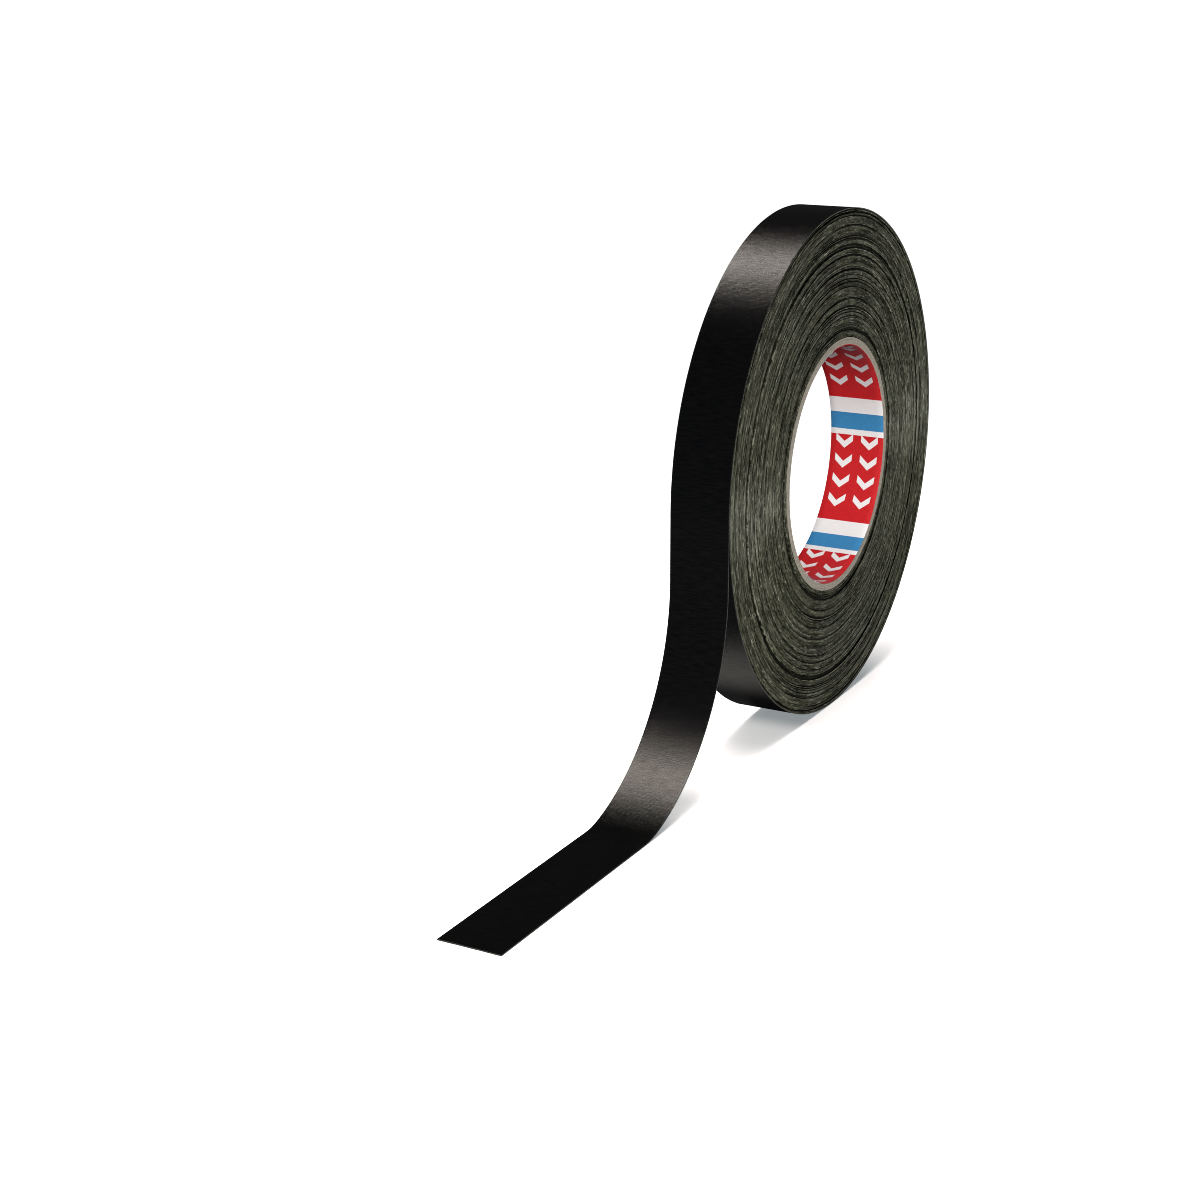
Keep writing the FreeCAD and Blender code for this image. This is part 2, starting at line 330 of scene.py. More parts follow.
# ----------------------------------------------------------------- materials
def coating_material():
    """Black coated cloth: a thin satin film with a fine plain weave showing through."""
    tree = new_material("black_coated_cloth")
    along, across, _ = tree.attribute("strip")
    # yarns waver a little, so that the weave isn't a perfect grid
    drift = tree.noise(along * 0.05, across * 0.05, 3.0)
    phase_along = along * (2 * math.pi / YARN_ALONG) + drift * 9.0
    phase_across = across * (2 * math.pi / YARN_ACROSS) + drift * 7.0
    warp = tree.math("SINE", phase_along)
    weft = tree.math("SINE", phase_across)
    # plain weave: over at one crossing, under at the next
    plain = tree.math("SINE", phase_along * 0.5) * tree.math("SINE", phase_across * 0.5)
    weave = (warp * 0.28 + weft * 0.2 + plain * 0.34) * 0.5 + 0.5
    # slubs: thicker yarns across the strip, and along it
    slub_x = tree.noise(along * 2.1, across * 0.22, 0.0, rough=0.65)
    slub_y = tree.noise(along * 0.12, across * 2.4, 7.0, rough=0.65)
    grain = tree.noise(along, across, 0.0, scale=2.4, rough=0.75)
    mottle = tree.noise(along * 0.9, across * 0.55, 9.0, detail=3.0, rough=0.65)
    height = weave * 0.2 + grain * 0.85 + (slub_x * 0.3 + slub_y * 0.25) + mottle * 0.45
    normal = tree.bump(height, strength=0.8, distance=0.00009)
    cloud = tree.noise(along * 0.03, across * 0.08, 1.0, detail=3.0)
    # rubbed white along both cut edges
    rubbed = tree.ramp(abs(across), (HALF - 0.45, HALF - 0.02), smooth=True)
    rubbed = rubbed * tree.ramp(tree.noise(along * 1.3, across, 5.0, detail=3.0), (0.35, 0.7))
    black = tree.mix(
        tree.ramp(slub_x, (0.35, 0.65)), (0.0022, 0.0025, 0.0029), (0.0048, 0.0048, 0.0050)
    )
    return tree.principled(
        Base_Color=tree.mix(rubbed * 0.4, black, (0.06, 0.06, 0.055)),
        Roughness=tree.ramp(grain * 0.7 + cloud * 0.3, (0.3, 0.7), (0.14, 0.22)),
        Normal=normal,
        Specular_IOR_Level=tree.ramp(grain * 0.55 + slub_x * 0.45, (0.36, 0.64), (0.22, 0.60)),
        Specular_Tint=(1.0, 0.95, 0.905),
    )


def edge_material():
    """The strip's cut edge: cotton yarns between the black film and the adhesive."""
    tree = new_material("cut_cloth_edge")
    along, _, _ = tree.attribute("strip")
    x, _, z = tree.object_mm()
    yarn = tree.noise(along * 2.6, x * 6.0, z * 6.0, detail=3.0, rough=0.6)
    return tree.principled(
        Base_Color=tree.mix(
            tree.ramp(yarn, (0.38, 0.66)), (0.014, 0.0145, 0.011), (0.095, 0.098, 0.078)
        ),
        Roughness=0.62,
        Normal=tree.bump(yarn, strength=0.6, distance=0.00012),
        Specular_IOR_Level=0.4,
    )


def adhesive_material():
    """Natural rubber adhesive on the strip's inner side, with the weave pressed through it."""
    tree = new_material("rubber_adhesive")
    along, across, _ = tree.attribute("strip")
    wave_along = tree.math("SINE", along * (2 * math.pi / YARN_ALONG))
    wave_across = tree.math("SINE", across * (2 * math.pi / YARN_ACROSS))
    blot = tree.noise(along * 0.35, across * 0.5, 2.0, detail=4.0, rough=0.6)
    height = wave_along * wave_across * 0.4 + blot
    return tree.principled(
        Base_Color=tree.mix(
            tree.ramp(blot, (0.3, 0.7)), (0.040, 0.041, 0.034), (0.085, 0.086, 0.070)
        ),
        Roughness=tree.ramp(blot, (0.3, 0.7), (0.28, 0.5)),
        Normal=tree.bump(height, strength=0.5, distance=0.0001),
        Specular_IOR_Level=0.5,
    )


def wound_material():
    """The side of the wound tape: cut yarns and black film, drawn out along the winding."""
    tree = new_material("wound_cloth_edges")
    x, _, z, radius, cosine, sine = tree.cylinder_mm()
    angle = tree.math("ARCTAN2", z, x)
    turn = (radius - CORE_R) / TURN_PITCH - angle / (2 * math.pi)
    turn = turn + 40.5  # the winding's seams lie at 180 degrees
    share = tree.math("FRACT", turn)
    film = tree.ramp(abs(share - 0.86), (0.05, 0.16), (1.0, 0.0), smooth=True)

    def streaks(around, outward, seed, detail=2.0, rough=0.5):
        """Noise of around cells per radian and outward cells per mm of radius."""
        return tree.noise(
            cosine * around, sine * around, radius * outward + seed, detail=detail, rough=rough
        )

    def lines(around, outward, seed, width):
        """Thin lines along the winding that come and go."""
        noise = streaks(around, outward, seed, rough=0.55)
        line = tree.ramp(abs(noise - 0.5), (0.0, width), (1.0, 0.0), smooth=True)
        return line * tree.ramp(streaks(3.5, 0.7, seed + 7.0, 3.0, 0.6), (0.46, 0.62))

    threads = streaks(28.0, 3.4, 0.0, detail=3.0, rough=0.75)
    dashes = streaks(12.0, 1.5, 11.0, rough=0.65)
    patches = streaks(22.0, 2.3, 17.0, rough=0.7)
    grit = streaks(80.0, 3.2, 23.0, rough=0.6)
    rings = streaks(1.6, 0.95, 31.0, detail=4.0, rough=0.72)
    broad = streaks(0.7, 0.25, 47.0)
    bright = tree.math(
        "MAXIMUM", lines(1.1, 0.95, 61.0, width=0.10), lines(2.4, 1.5, 83.0, width=0.12)
    )
    dark = tree.math(
        "MAXIMUM", lines(1.0, 0.95, 101.0, width=0.17), lines(1.7, 1.8, 127.0, width=0.16)
    )
    # masks stored on the mesh: painted shade, a random tone and painted highlight
    sunk_and_painted_shade, tone, painted_highlight_lines = tree.attribute("shade_tone_highlight")
    value = threads * 0.38 + dashes * 0.18 + patches * 0.22 + grit * 0.10 + rings * 0.02
    value = value + (tone * 0.45 + 0.275) * 0.10
    # yarns run from near black to pale grey, and few are pale
    shade = tree.math("POWER", 10.0, (value - 0.5) * 9.5)
    shade = tree.math("MINIMUM", shade * 0.038, 0.5)
    shade = shade * (1.0 - film * 0.35)
    shade = shade * (1.0 - dark * 0.5)
    shade = shade + bright * 0.07
    # painted highlight: pale lines on single turns
    shade = shade + painted_highlight_lines * tree.ramp(threads, (0.42, 0.66), (0.0, 0.28))
    # painted shade: sunk turns and the grooves between turns are darkened
    shade = shade * (1.0 - tree.ramp(sunk_and_painted_shade, (0.0, 0.8)) * 0.9)
    tint = tree.mix(
        tree.ramp(shade + broad * 0.1, (0.06, 0.30)), (1.0, 1.02, 0.64), (1.0, 1.01, 0.80)
    )
    grey = tree.make("CombineXYZ", shade, shade, shade)
    height = dashes * 0.6 + threads * 0.5 + rings * 0.3 - film * 0.25 + bright * 0.5 - dark * 0.6
    return tree.principled(
        Base_Color=tree.mix(1.0, grey, tint, "MULTIPLY"),
        Roughness=tree.ramp(value, (0.4, 0.65), (0.46, 0.60)),
        Normal=tree.bump(height, strength=0.8, distance=0.00022),
        Specular_IOR_Level=tree.ramp(shade, (0.0, 0.15), (0.06, 0.75)),
        Specular_Tint=(0.99, 1.0, 0.85),
        Anisotropic=0.92,
        Anisotropic_Rotation=0.25,
        Tangent=tree.make("Tangent", props={"direction_type": "RADIAL", "axis": "Y"}),
    )


def paperboard_material():
    """Grey-beige recycled paperboard, with fibres drawn along the cut."""
    tree = new_material("paperboard")
    x, y, z, radius, cosine, sine = tree.cylinder_mm()
    fibre = tree.noise(
        cosine * 30.0, sine * 30.0, radius * 5.0 + y * 0.6, detail=4.0, rough=0.65
    )
    speck = tree.noise(x, y, z, scale=2.3, detail=3.0, rough=0.6)
    # dark lines where plies meet
    ply = abs(tree.math("FRACT", (radius - (BORE_R + LINER_SPACE)) / PLY_PITCH) - 0.5)
    colour = tree.mix(tree.ramp(fibre, (0.35, 0.68)), (0.21, 0.182, 0.145), (0.42, 0.385, 0.325))
    colour = tree.mix(tree.ramp(speck, (0.58, 0.72), (0.0, 0.45)), colour, (0.14, 0.12, 0.095))
    colour = tree.mix(tree.ramp(ply, (0.44, 0.5), (0.0, 0.45)), colour, (0.13, 0.11, 0.085))
    return tree.principled(
        Base_Color=colour,
        Roughness=0.85,
        Normal=tree.bump(fibre, strength=0.5, distance=0.00012),
        Specular_IOR_Level=0.25,
    )


def liner_material():
    """Printed paper: red blocks with two rows of white chevrons, and white and blue bands."""
    tree = new_material("printed_liner")
    x, y, z = tree.object_mm()
    degrees = tree.math("ARCTAN2", z, x) * (180 / math.pi)
    # degrees travelled from the lap seam, and then into the printed repeat
    down = tree.math("MODULO", LAP + 720.0 - degrees, 360.0)
    place = tree.math("FRACT", (down + (RED_START - LAP)) / REPEAT) * REPEAT

    def between(start, end, soft=0.06):
        """1 between two places in the repeat, in degrees, and 0 elsewhere."""
        rise = tree.ramp(place, (start - soft, start + soft))
        return rise * tree.ramp(place, (end - soft, end + soft), (1.0, 0.0))

    red = between(0.0, 44.9)
    blue = between(53.4, 62.3)
    # chevrons, in mm along the bore wall and away from the middle of each row
    along = place * (BORE_R * math.pi / 180)
    rows = abs(abs(y) - 4.45)

    def slant():
        """Distance along the wall from the first chevron, leaning with its arms."""
        return (along - 2.1) + rows * 0.85

    wave = tree.math("FRACT", slant() / 6.75)
    arm = tree.ramp(wave, (0.03, 0.055)) * tree.ramp(wave, (0.37, 0.395), (1.0, 0.0))
    arm = arm * tree.ramp(rows, (2.95, 3.05), (1.0, 0.0))
    inside = slant()
    arm = arm * (tree.ramp(inside, (0.0, 0.05)) * tree.ramp(inside, (26.9, 26.95), (1.0, 0.0)))
    ink = tree.noise(x, y, z, scale=1.1, detail=4.0, rough=0.6)
    fibre = tree.noise(x * 2.0, y, z * 2.0, scale=2.2, detail=4.0, rough=0.7)
    white = tree.mix(tree.ramp(fibre, (0.35, 0.7)), (0.82, 0.79, 0.785), (0.93, 0.91, 0.91))
    red_ink = tree.mix(tree.ramp(ink, (0.3, 0.7)), (0.53, 0.012, 0.016), (0.62, 0.018, 0.022))
    blue_ink = tree.mix(tree.ramp(ink, (0.3, 0.7)), (0.038, 0.220, 0.455), (0.052, 0.250, 0.51))
    colour = tree.mix(red, white, red_ink)
    colour = tree.mix(arm * red, colour, white)
    colour = tree.mix(blue, colour, blue_ink)
    # the lap seam: a shaded line
    seam = tree.ramp(tree.math("MINIMUM", down, 360.0 - down), (0.0, 0.35), (1.0, 0.0))
    return tree.principled(
        Base_Color=tree.mix(seam * 0.25, colour, (0.12, 0.05, 0.05)),
        Roughness=tree.ramp(fibre, (0.3, 0.7), (0.42, 0.55)),
        Normal=tree.bump(fibre, strength=0.25, distance=0.00006),
        Specular_IOR_Level=0.4,
    )


STRIP_MATERIALS = (coating_material(), edge_material(), adhesive_material())
wound = wound_material()
board = paperboard_material()
printed = liner_material()


# ----------------------------------------------------------------- the strip
def strip_line(dist):
    """The coating's x and z, and its heading's, at dist past the peel line.

    Below 0 it is the outermost turn.
    """
    dist = np.asarray(dist, float)
    x, z, head_x, head_z = (np.zeros_like(dist) for _ in range(4))

    def arc(mask, centre_x, centre_z, radius, angle, way):
        x[mask] = centre_x + radius * np.cos(angle)
        z[mask] = centre_z + radius * np.sin(angle)
        head_x[mask] = -way * np.sin(angle)
        head_z[mask] = way * np.cos(angle)

    lower = dist < -math.pi * UPPER_R
    arc(lower, SPIRAL_STEP, 0.0, LOWER_R, (dist[lower] + math.pi * UPPER_R) / LOWER_R, 1)
    upper = ~lower & (dist < 0)
    arc(upper, -SPIRAL_STEP, 0.0, UPPER_R, math.pi + dist[upper] / UPPER_R, 1)
    drop = (dist >= 0) & (dist < DROP_END)
    x[drop], z[drop], head_z[drop] = -RADIUS, -dist[drop], -1.0
    bend = (dist >= DROP_END) & (dist < BEND_END)
    arc(bend, BEND_X, BEND_Z, BEND_R, -(dist[bend] - DROP_END) / BEND_R, -1)
    land = (dist >= BEND_END) & (dist < LAND_END)
    arc(land, LAND_X, LAND_Z, LAND_R, -BEND_ANGLE - (dist[land] - BEND_END) / LAND_R, -1)
    flat = dist >= LAND_END
    x[flat], z[flat], head_x[flat] = LAND_X - (dist[flat] - LAND_END), FLAT, -1.0
    return x, z, head_x, head_z


def strip_section(dist):
    """Each section point's place across the strip and depth below the coating, row by row.

    A section runs over the film, down the +Y edge, back over the adhesive and up the -Y edge.
    """
    columns = np.linspace(-(HALF - 0.035), HALF - 0.035, COLUMNS)
    edge_depth = np.array([0.035, COAT, COAT + CLOTH * 0.5, COAT + CLOTH, THICK - 0.03])
    edge_out = np.array([0.0, -0.012, 0.016, 0.004, -0.022])

    def fray(seed):
        slow = 0.030 * noise_1d(dist / 5.0 + 700, seed)
        return (slow + 0.020 * noise_1d(dist / 0.9 + 900, seed + 10) - 0.045)[:, None]

    def every_row(values):
        return np.tile(values, (len(dist), 1))

    yarn = [0.016 * noise_1d(dist / 0.7 + 31 * k + 500, 40 + k) for k in range(EDGE)]
    yarn = np.stack(yarn, -1)
    plus_edge = HALF + fray(21) + edge_out + yarn
    minus_edge = -(HALF + fray(22) + edge_out[::-1] + yarn)
    # the film and the adhesive swell and sink by a few microns
    along = dist[:, None]
    film = 0.010 * noise_2d(along / 6.0 + 300, columns / 4.0 + 60, 5)
    film = film + 0.0035 * noise_2d(along / 1.1 + 700, columns / 0.9 + 40, 6)
    film = np.clip(film, -0.006, 0.02) + 0.004
    glue = 0.008 * noise_2d(along / 4.0 + 900, -columns / 3.0 + 90, 7)
    glue = THICK - 0.004 - np.clip(glue, -0.003, 0.02)
    across = np.hstack([every_row(columns), plus_edge, every_row(-columns), minus_edge])
    depth = np.hstack([film, every_row(edge_depth), glue, every_row(edge_depth[::-1])])
    return across, depth


def strip_caps(rows, loop):
    """Quads and triangles that close a strip's two ends."""
    top = np.arange(COLUMNS)
    plus = COLUMNS + np.arange(EDGE)
    bottom = (COLUMNS + EDGE + np.arange(COLUMNS))[::-1]
    minus = 2 * COLUMNS + EDGE + np.arange(EDGE)
    polygons = ([top[-1], bottom[-1], *plus[::-1]], [top[0], *minus[::-1], bottom[0]])
    caps, fans = [], []
    for first, way in ((0, 1), ((rows - 1) * loop, -1)):
        for k in range(COLUMNS - 1):
            quad = (top[k], bottom[k], bottom[k + 1], top[k + 1])
            caps.append([first + point for point in quad][::way])
        for polygon in polygons:
            for k in range(1, len(polygon) - 1):
                fan = (polygon[0], polygon[k], polygon[k + 1])
                fans.append([first + point for point in fan][::way])
    return caps, fans


def strip_uv(piece, rows, loop):
    """A map that runs along the strip, with the end caps beyond 0.97."""
    vertex = np.zeros(len(piece.data.loops), np.int64)
    piece.data.loops.foreach_get("vertex_index", vertex)
    row, column = vertex // loop, vertex % loop
    along, around = row / (rows - 1) * 0.97, column / loop
    wall_corners = 4 * (rows - 1) * loop
    # the last wall of each row closes at 1, not at 0
    quad = np.arange(wall_corners) // 4
    closing = (quad % loop == loop - 1) & (column[:wall_corners] == 0)
    around[:wall_corners][closing] = 1.0
    ends = slice(wall_corners, None)
    along[ends] = np.where(row[ends] == 0, 0.98, 0.99) + 0.004 * (column[ends] % 2)
    store_uv(piece, np.stack([along, around], -1))


def strip_piece(name, start, end, step, cut_tip=False):
    """A closed length of the strip: film, cut edges and adhesive, with closed ends."""
    rows = max(2, int(round((end - start) / step)) + 1)
    dist = np.linspace(start, end, rows)
    x, z, head_x, head_z = strip_line(dist)
    across, depth = strip_section(dist)
    loop = across.shape[1]
    point_x = x[:, None] - head_z[:, None] * depth
    point_z = z[:, None] + head_x[:, None] * depth
    if cut_tip:  # the cut wanders across the strip
        wander = 0.05 * noise_1d(across[-1] / 1.3 + 77, 60)
        point_x[-1] -= wander + 0.03 * noise_1d(across[-1] / 0.4 + 177, 61) - 0.08
    points = np.stack([point_x, across, point_z], -1).reshape(-1, 3)
    walls, _, _ = tube_quads(rows - 1, rows, loop)
    caps, fans = strip_caps(rows, loop)
    # 0 film, 1 cut edge, 2 adhesive
    kinds = np.full(loop, 1)
    kinds[: COLUMNS - 1] = 0
    kinds[COLUMNS + EDGE : 2 * COLUMNS + EDGE - 1] = 2
    face_mats = np.concatenate([np.tile(kinds, rows - 1), np.ones(len(caps) + len(fans), int)])
    quads = np.concatenate([walls, np.array(caps)])
    piece = make_mesh(name, points, quads, STRIP_MATERIALS, 40.0, fans, face_mats)
    along = np.repeat(dist, loop)
    store_vectors(piece, "strip", np.stack([along, across.ravel(), np.zeros(len(along))], -1))
    strip_uv(piece, rows, loop)
    return piece


# ------------------------------------------------------------ the wound tape
def wound_face(turn, part, seed):
    """How far one side of the winding sits back, and its masks: sunk turns and grooves for painted
    shade, a random tone, and lines of painted highlight.
    """
    back = 0.10 * np.abs(noise_1d(turn * 1.07 + 100, seed))  # each turn sits back a little
    # ridges of a few turns, and a broad swell
    back += 0.11 * (0.5 + 0.5 * noise_1d(turn * 0.37 + 400, seed + 1)) ** 1.5
    back += 0.06 * (0.5 + 0.5 * noise_1d(turn * 0.06 + 50, seed + 2))
    # a turn wound well inside the others; the shader darkens it too, as painted shade
    sunk_and_painted_shade = np.clip((noise_1d(turn * 0.97 + 600, seed + 3) - 0.22) / 0.25, 0, 1)
    sunk_and_painted_shade = sunk_and_painted_shade * sunk_and_painted_shade * (3 - 2 * sunk_and_painted_shade)
    back += 0.55 * sunk_and_painted_shade
    # fine waver round each turn
    back += 0.020 * noise_1d(turn * 37 + 10, seed + 4) + 0.016 * noise_1d(turn * 113 + 30, seed + 5)
    back += np.where(part == 1, 0.030 * noise_1d(turn * 171 + 70, seed + 6), 0.0)
    # the groove between turns
    deep = 0.14 + 0.30 * np.clip(noise_1d(turn * 0.93 + 200, seed + 7) - 0.10, 0, 1)
    back = np.maximum(back, 0.0)
    back = np.where(part == 0, back + deep, back)
    tone = 0.5 + 0.28 * noise_1d(turn * 1.31 + 900, seed + 8)
    tone += 0.30 * noise_1d(turn * 0.53 + 80, seed + 10)
    tone += 0.16 * noise_1d(turn * 53 + 40, seed + 9)
    # painted highlight: pale lines on single turns, about every 4.2 turns, as if those turns stood
    # proud; the surface isn't raised
    phase = turn / 4.2 + 1.3 * noise_1d(turn * 0.11 + 20, seed + 11)
    painted_highlight_lines = np.clip(1 - np.abs(phase - np.round(phase)) * 4.2 / 0.62, 0, 1)
    painted_highlight_lines = painted_highlight_lines * np.clip(noise_1d(turn * 0.43, seed + 12) * 1.5 + 0.45, 0, 1)
    painted_highlight_lines = np.where(part == 0, 0.0, painted_highlight_lines) * (1 - sunk_and_painted_shade)
    # painted shade: the groove line of each turn gets the full shade mask
    return back, np.stack([np.where(part == 0, 1.0, sunk_and_painted_shade), tone, painted_highlight_lines], -1)


def wound_points(first_turn, last):
    """Points and colour masks of both faces: painted shade, tone and painted highlight. Each turn has
    three lines: its groove and two edges.
    """
    line, step = np.meshgrid(np.arange(last + 1), np.arange(BAND_SEGMENTS), indexing="ij")
    # the last three lines also need a point after a full turn
    line = np.concatenate([line.ravel(), [last - 2, last - 1, last]])
    step = np.concatenate([step.ravel(), [BAND_SEGMENTS] * 3])
    turn = first_turn + line // 3 + step / BAND_SEGMENTS  # turns since the core
    part = line % 3
    gap = 0.10 + 0.24 * np.clip(noise_1d((turn + (part == 2)) * 0.93 + 200, 71) - 0.25, 0, 1)
    share = np.where(part == 0, 0.0, np.where(part == 1, gap, 1 - gap))
    radius = np.minimum(CORE_R + (turn + share) * TURN_PITCH, PACK_R)
    free = (radius < PACK_R - 0.05) * (radius > CORE_R + 0.05)
    radius += np.where(part > 0, 0.012 * noise_1d(turn * 61 + 300, 72), 0) * free
    angle = math.pi + 2 * math.pi * step / BAND_SEGMENTS
    points, shade_tone_highlight = [], []
    for side, seed in ((-1, 80), (1, 120)):
        back, face_shade_tone_highlight = wound_face(turn, part, seed)
        y = side * (HALF - back - 0.01)
        points.append(np.stack([radius * np.cos(angle), y, radius * np.sin(angle)], -1))
        shade_tone_highlight.append(face_shade_tone_highlight)
    return np.concatenate(points), np.concatenate(shade_tone_highlight)


def wound_band(name, first_turn, end_turn):
    """Some turns of the wound tape as one closed spiral, each with its own cut edges."""
    last = 3 * (end_turn - first_turn)
    points, shade_tone_highlight = wound_points(first_turn, last)

    def at(side, line, step):
        """Vertex index. After a full turn a line runs on into the same line of the next."""
        onward = np.where(step == BAND_SEGMENTS, line + 3, line)
        extra = (last + 1) * BAND_SEGMENTS + (line - (last - 2))
        inside = onward * BAND_SEGMENTS + step % BAND_SEGMENTS
        return side * (len(points) // 2) + np.where(onward > last, extra, inside)

    line, step = (
        grid.ravel()
        for grid in np.meshgrid(np.arange(last), np.arange(BAND_SEGMENTS), indexing="ij")
    )
    wall = np.arange(BAND_SEGMENTS)
    low, high = np.zeros(BAND_SEGMENTS, int), np.full(BAND_SEGMENTS, last)
    start, end = np.arange(3), np.arange(last - 3, last)
    none, full = np.zeros(3, int), np.full(3, BAND_SEGMENTS)
    # each block's place in the map, and its corners as side (0 is -Y), line and step
    blocks = [
        # the -Y and the +Y face
        (0.005, [(0, line, step), (0, line + 1, step), (0, line + 1, step + 1), (0, line, step + 1)]),
        (0.485, [(1, line, step), (1, line, step + 1), (1, line + 1, step + 1), (1, line + 1, step)]),
        # the inner and the outer wall
        (0.962, [(0, low, wall), (0, low, wall + 1), (1, low, wall + 1), (1, low, wall)]),
        (0.976, [(0, high, wall), (1, high, wall), (1, high, wall + 1), (0, high, wall + 1)]),
        # the spiral's two ends
        (0.989, [(0, start, none), (1, start, none), (1, start + 1, none), (0, start + 1, none)]),
        (0.995, [(0, end, full), (0, end + 1, full), (1, end + 1, full), (1, end, full)]),
    ]
    quads, uvs = [], []
    for number, (base, corners) in enumerate(blocks):
        quads.append(np.stack([at(*corner) for corner in corners], -1))
        uv = []
        for side, lines, steps in corners:
            around = steps / BAND_SEGMENTS
            outward = base + (0.465 * lines / last if number < 2 else 0.006 * side)
            if number > 3:
                around = 0.2 + 0.1 * (lines - corners[0][1][0])
            uv.append(np.stack([around, np.broadcast_to(outward, around.shape)], -1))
        uvs.append(np.stack(uv, 1))
    piece = make_mesh(name, points, np.concatenate(quads), (wound,), 30.0)
    store_uv(piece, np.concatenate(uvs))
    store_vectors(piece, "shade_tone_highlight", shade_tone_highlight)
    return piece


# ------------------------------------------------------------ core and liner
def ring(name, inner, outer, mat, seed, set_back=0.0, lap=0.0, start_deg=0.0, rough=0.035):
    """A paper ring: rounded arrises, torn cut faces and, if lapped, a step inside."""
    bevel = min(0.05, (outer - inner) * 0.3)
    corner = bevel * 0.3
    half = HALF - set_back
    radial = np.linspace(inner + bevel, outer - bevel, 6 if outer - inner > 0.3 else 3)
    wall = np.linspace(-(half - bevel), half - bevel, 9)
    # the section: the -Y face, the outer wall, the +Y face and the inner wall
    section_r = np.r_[
        radial, outer - corner, np.full(9, outer), outer - corner,
        radial[::-1], inner + corner, np.full(9, inner), inner + corner,
    ]
    section_y = np.r_[
        np.full(len(radial), -half), -(half - corner), wall, half - corner,
        np.full(len(radial), half), half - corner, wall[::-1], -(half - corner),
    ]
    loop = len(section_r)
    angle = np.arange(RING_SEGMENTS) / RING_SEGMENTS * 2 * np.pi + math.radians(start_deg)
    step, spot = np.meshgrid(np.arange(RING_SEGMENTS), np.arange(loop), indexing="ij")
    radius, y = section_r[spot], section_y[spot]
    torn = rough * np.abs(noise_2d(step * 0.37 + 20, radius * 7.0, seed))
    torn += rough * 0.6 * np.abs(noise_2d(step + 90.0, radius * 15.0, seed + 1))
    cut = np.abs(y) > half - bevel * 1.1
    y = np.where(cut, np.sign(y) * (np.abs(y) - torn), y)
    radius = radius + np.where(radius < (inner + outer) / 2, lap * step / RING_SEGMENTS, 0.0)
    points = np.stack([radius * np.cos(angle)[step], y, radius * np.sin(angle)[step]], -1)
    quads, i, k = tube_quads(RING_SEGMENTS, RING_SEGMENTS, loop)
    piece = make_mesh(name, points.reshape(-1, 3), quads, (mat,), 40.0)
    store_uv(piece, np.stack([i / RING_SEGMENTS, k / loop], -1))
    return piece


# ---------------------------------------------------------------- the pieces
# the start stops just short of a full turn
outer_turn = strip_piece(
    "tape_outer_turn", -math.pi * (UPPER_R + LOWER_R) + 0.02, 0.0, OUTER_STEP
)
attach(outer_turn, "outer_turn")
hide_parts("outer_turn_coating", "outer_turn_cloth", "outer_turn_adhesive")

# the hinges' places along the strip; the second and fourth are at the bend's ends
AT_3 = DROP_END + BEND_R * math.atan2(-(HINGE_3[1] - BEND_Z), HINGE_3[0] - BEND_X)
AT_5 = TAIL_END - (TIP + HINGE_5[0])
CUTS = [
    0.0, DROP_END / 2, (DROP_END + AT_3) / 2, (AT_3 + BEND_END) / 2, (BEND_END + AT_5) / 2,
    TAIL_END,
]
# stretches of the strip round each hinge: the first where the tape peels off, the last by the floor
BEND_SPANS = [
    (0.0, 3.0),
    (DROP_END - 9.5, DROP_END + 11.0),
    (AT_3 - 13.0, AT_3 + 13.0),
    (BEND_END - 13.0, BEND_END + 13.0),
    (AT_5 - 5.0, AT_5 + 5.0),
]
tails = []
for k in range(5):
    piece = strip_piece(f"tape_tail_{k + 1}", CUTS[k], CUTS[k + 1], TAIL_STEP, cut_tip=k == 4)
    span_x, span_z, _, _ = strip_line(BEND_SPANS[k])
    start, end = ((x * MM, 0.0, z * MM) for x, z in zip(span_x, span_z))
    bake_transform(piece)
    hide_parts(*(f"tail_{k + 1}_{layer}" for layer in ("coating", "cloth", "adhesive")))
    tails.append(piece)

bands = []
for k in range(5):
    band = wound_band(f"wound_tape_band_{k + 1}", BAND_BORDERS[k], BAND_BORDERS[k + 1])
    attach(band, "wound_roll")
    bands.append(band)
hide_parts("wound_tape")

plies = []
# each ply's place and how far its cut faces are set back
for k, (place, set_back) in enumerate((("outer", 0.03), ("middle", 0.0), ("inner", 0.02))):
    ply_r = CORE_R - PLY_PITCH * k
    ply = ring(
        f"core_ply_{place}", ply_r - 0.735, ply_r - 0.01, board, 200 + 10 * k, set_back=set_back
    )
    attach(ply, "wound_roll")
    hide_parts(f"core_{place}_ply")
    plies.append(ply)

liner = ring(
    "core_print", BORE_R, BORE_R + 0.14, printed, 240,
    set_back=0.10, lap=0.05, start_deg=LAP, rough=0.02,
)
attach(liner, "wound_roll")
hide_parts("core_liner")


